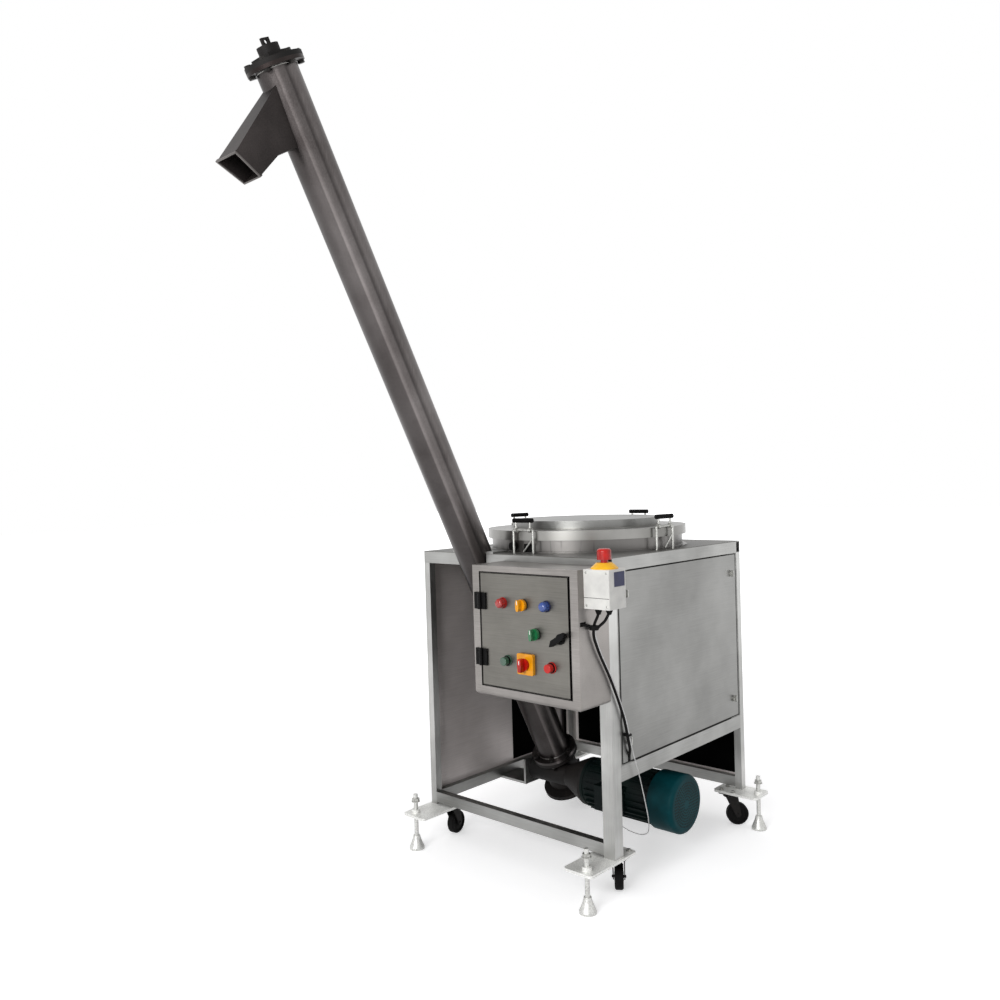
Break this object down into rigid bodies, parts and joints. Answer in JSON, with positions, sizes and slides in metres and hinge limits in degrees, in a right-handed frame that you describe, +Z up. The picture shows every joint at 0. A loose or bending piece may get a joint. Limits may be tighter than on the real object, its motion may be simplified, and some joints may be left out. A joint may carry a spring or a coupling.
{
  "type": "screw conveyor",
  "caption": "Inclined tubular screw conveyor with covered round hopper, wheeled cabinet with levelling feet, gear motor, control box and emergency stop.",
  "frame": {"origin": "on the floor under the middle of the whole machine's bounding box", "axes": "+Z up, +X out of the cabinet's removable side panel, -Y towards the control panel and the discharge spout"},
  "size_m": [0.94, 1.6436, 2.394],
  "materials": {
    "steel_bright": "brushed",
    "steel_dark": "brushed",
    "steel_panel": "satin",
    "zinc": "satin",
    "black_plastic": "matte",
    "grey_rubber": "matte",
    "white_plastic": "satin",
    "red_plastic": "gloss",
    "yellow_plastic": "gloss",
    "green_plastic": "gloss",
    "blue_plastic": "gloss",
    "motor_paint": "satin",
    "gear_iron": "satin",
    "bronze": "satin",
    "wire_grey": "matte"
  },
  "bodies": {
    "machine": {"frame_legs": "zinc", "frame_rails": "steel_bright", "side_panel_right": "steel_panel", "panel_screws": "black_plastic", "side_panel_left": "steel_panel", "rear_panel": "steel_panel", "deck": "steel_bright", "base_plates": "zinc", "caster_pads": "zinc", "conveyor_tube": "steel_bright", "discharge_spout": "steel_bright", "end_cover": "steel_dark", "top_bearing": "gear_iron", "flange_bolts": "zinc", "gearbox_housing": "gear_iron", "motor_body": "motor_paint", "fan_cowl": "motor_paint", "conveyor_brackets": "steel_bright", "hopper_drum": "steel_bright", "latch_brackets": "steel_bright", "control_box": "steel_panel", "hinge_leaves_box": "black_plastic", "estop_box": "white_plastic", "estop_collar": "yellow_plastic", "control_cable": "black_plastic", "motor_wire": "wire_grey"},
    "screw": {"screw_shaft": "steel_dark", "screw_flight": "steel_dark", "worm_wheel": "bronze"},
    "worm": {"worm_shaft": "steel_dark"},
    "lid": {"hopper_lid": "steel_dark"},
    "door": {"control_door": "steel_panel", "hinge_leaves_door": "black_plastic", "control_bezels": "zinc", "lamp_red": "red_plastic", "lamp_blue": "blue_plastic", "main_switch_plate": "yellow_plastic"},
    "selector_yellow": {"selector_yellow": "yellow_plastic"},
    "selector_green": {"selector_green": "green_plastic"},
    "main_switch": {"main_switch_knob": "red_plastic"},
    "lock": {"lock_handle": "black_plastic"},
    "start": {"start_button": "green_plastic"},
    "stop": {"stop_button": "red_plastic"},
    "estop": {"estop_button": "red_plastic"},
    "caster_front_right": {"caster_fork_front_right": "zinc"},
    "wheel_front_right": {"caster_wheel_front_right": "grey_rubber"},
    "caster_front_left": {"caster_fork_front_left": "zinc"},
    "wheel_front_left": {"caster_wheel_front_left": "grey_rubber"},
    "caster_rear_right": {"caster_fork_rear_right": "zinc"},
    "wheel_rear_right": {"caster_wheel_rear_right": "grey_rubber"},
    "caster_rear_left": {"caster_fork_rear_left": "zinc"},
    "wheel_rear_left": {"caster_wheel_rear_left": "grey_rubber"},
    "foot_front_right": {"levelling_foot_front_right": "zinc"},
    "foot_front_left": {"levelling_foot_front_left": "zinc"},
    "foot_rear_right": {"levelling_foot_rear_right": "zinc"},
    "foot_rear_left": {"levelling_foot_rear_left": "zinc"},
    "latch_front": {"latch_lever_front": "steel_bright"},
    "latch_right": {"latch_lever_right": "steel_bright"},
    "latch_back": {"latch_lever_back": "steel_bright"},
    "latch_left": {"latch_lever_left": "steel_bright"}
  },
  "joints": [
    {"name": "screw_turn", "type": "hinge", "parent": "machine", "child": "screw", "pos_m": [-0.15, 0.40717, 0.25], "axis": [0, -0.4587, 0.8886], "continuous": true},
    {"name": "worm_turn", "type": "hinge", "parent": "machine", "child": "worm", "pos_m": [-0.15, 0.40006, 0.17656], "axis": [1, 0, 0], "continuous": true},
    {"name": "lid_lift", "type": "slide", "parent": "machine", "child": "lid", "axis": [0, 0, 1], "range_m": [0, 0.2]},
    {"name": "door_swing", "type": "hinge", "parent": "machine", "child": "door", "pos_m": [0.015, -0.12166, 0.772], "axis": [0, 0, -1], "range_deg": [0, 110]},
    {"name": "selector_yellow_turn", "type": "hinge", "parent": "door", "child": "selector_yellow", "pos_m": [0.183, -0.11516, 0.854], "axis": [0, 1, 0], "range_deg": [0, 90]},
    {"name": "selector_green_turn", "type": "hinge", "parent": "door", "child": "selector_green", "pos_m": [0.229, -0.11516, 0.774], "axis": [0, 1, 0], "range_deg": [0, 90]},
    {"name": "main_switch_turn", "type": "hinge", "parent": "door", "child": "main_switch", "pos_m": [0.192, -0.11516, 0.685], "axis": [0, 1, 0], "range_deg": [0, 90]},
    {"name": "lock_turn", "type": "hinge", "parent": "door", "child": "lock", "pos_m": [0.318, -0.11516, 0.768], "axis": [0, 1, 0], "range_deg": [0, 90]},
    {"name": "start_press", "type": "slide", "parent": "door", "child": "start", "axis": [0, 1, 0], "range_m": [0, 0.004], "stiffness_N_per_m": 1200, "springref_m": -0.002},
    {"name": "stop_press", "type": "slide", "parent": "door", "child": "stop", "axis": [0, 1, 0], "range_m": [0, 0.004], "stiffness_N_per_m": 1200, "springref_m": -0.002},
    {"name": "estop_press", "type": "slide", "parent": "machine", "child": "estop", "axis": [0, 0, -1], "range_m": [0, 0.006], "stiffness_N_per_m": 3000, "springref_m": -0.002},
    {"name": "caster_turn_front_right", "type": "hinge", "parent": "machine", "child": "caster_front_right", "pos_m": [0.349, 0.08484, 0.1], "axis": [0, 0, 1], "continuous": true},
    {"name": "wheel_roll_front_right", "type": "hinge", "parent": "caster_front_right", "child": "wheel_front_right", "pos_m": [0.33638, 0.10286, 0.0375], "axis": [-0.8192, -0.5736, 0], "continuous": true},
    {"name": "caster_turn_front_left", "type": "hinge", "parent": "machine", "child": "caster_front_left", "pos_m": [-0.349, 0.08484, 0.1], "axis": [0, 0, 1], "continuous": true},
    {"name": "wheel_roll_front_left", "type": "hinge", "parent": "caster_front_left", "child": "wheel_front_left", "pos_m": [-0.35282, 0.1065, 0.0375], "axis": [-0.9848, -0.1736, 0], "continuous": true},
    {"name": "caster_turn_rear_right", "type": "hinge", "parent": "machine", "child": "caster_rear_right", "pos_m": [0.349, 0.75484, 0.1], "axis": [0, 0, 1], "continuous": true},
    {"name": "wheel_roll_rear_right", "type": "hinge", "parent": "caster_rear_right", "child": "wheel_rear_right", "pos_m": [0.36535, 0.76956, 0.0375], "axis": [-0.6691, 0.7431, 0], "continuous": true},
    {"name": "caster_turn_rear_left", "type": "hinge", "parent": "machine", "child": "caster_rear_left", "pos_m": [-0.349, 0.75484, 0.1], "axis": [0, 0, 1], "continuous": true},
    {"name": "wheel_roll_rear_left", "type": "hinge", "parent": "caster_rear_left", "child": "wheel_rear_left", "pos_m": [-0.34331, 0.77609, 0.0375], "axis": [-0.9659, 0.2588, 0], "continuous": true},
    {"name": "foot_screw_front_right", "type": "slide", "parent": "machine", "child": "foot_front_right", "axis": [0, 0, 1], "range_m": [-0.012, 0.025]},
    {"name": "foot_screw_front_left", "type": "slide", "parent": "machine", "child": "foot_front_left", "axis": [0, 0, 1], "range_m": [-0.012, 0.025]},
    {"name": "foot_screw_rear_right", "type": "slide", "parent": "machine", "child": "foot_rear_right", "axis": [0, 0, 1], "range_m": [-0.012, 0.025]},
    {"name": "foot_screw_rear_left", "type": "slide", "parent": "machine", "child": "foot_rear_left", "axis": [0, 0, 1], "range_m": [-0.012, 0.025]},
    {"name": "latch_fold_front", "type": "hinge", "parent": "machine", "child": "latch_front", "pos_m": [0.01514, 0.08517, 1.056], "axis": [0.999, 0.0436, 0], "range_deg": [0, 90]},
    {"name": "latch_fold_right", "type": "hinge", "parent": "machine", "child": "latch_right", "pos_m": [0.34403, 0.38654, 1.056], "axis": [0.1305, 0.9914, 0], "range_deg": [0, 90]},
    {"name": "latch_fold_back", "type": "hinge", "parent": "machine", "child": "latch_back", "pos_m": [-0.01514, 0.77851, 1.056], "axis": [-0.999, -0.0436, 0], "range_deg": [0, 90]},
    {"name": "latch_fold_left", "type": "hinge", "parent": "machine", "child": "latch_left", "pos_m": [-0.34403, 0.47713, 1.056], "axis": [-0.1305, -0.9914, 0], "range_deg": [0, 90]}
  ],
  "couplings": [
    {"joint": "worm_turn", "follows": "screw_turn", "ratio": -28}
  ]
}
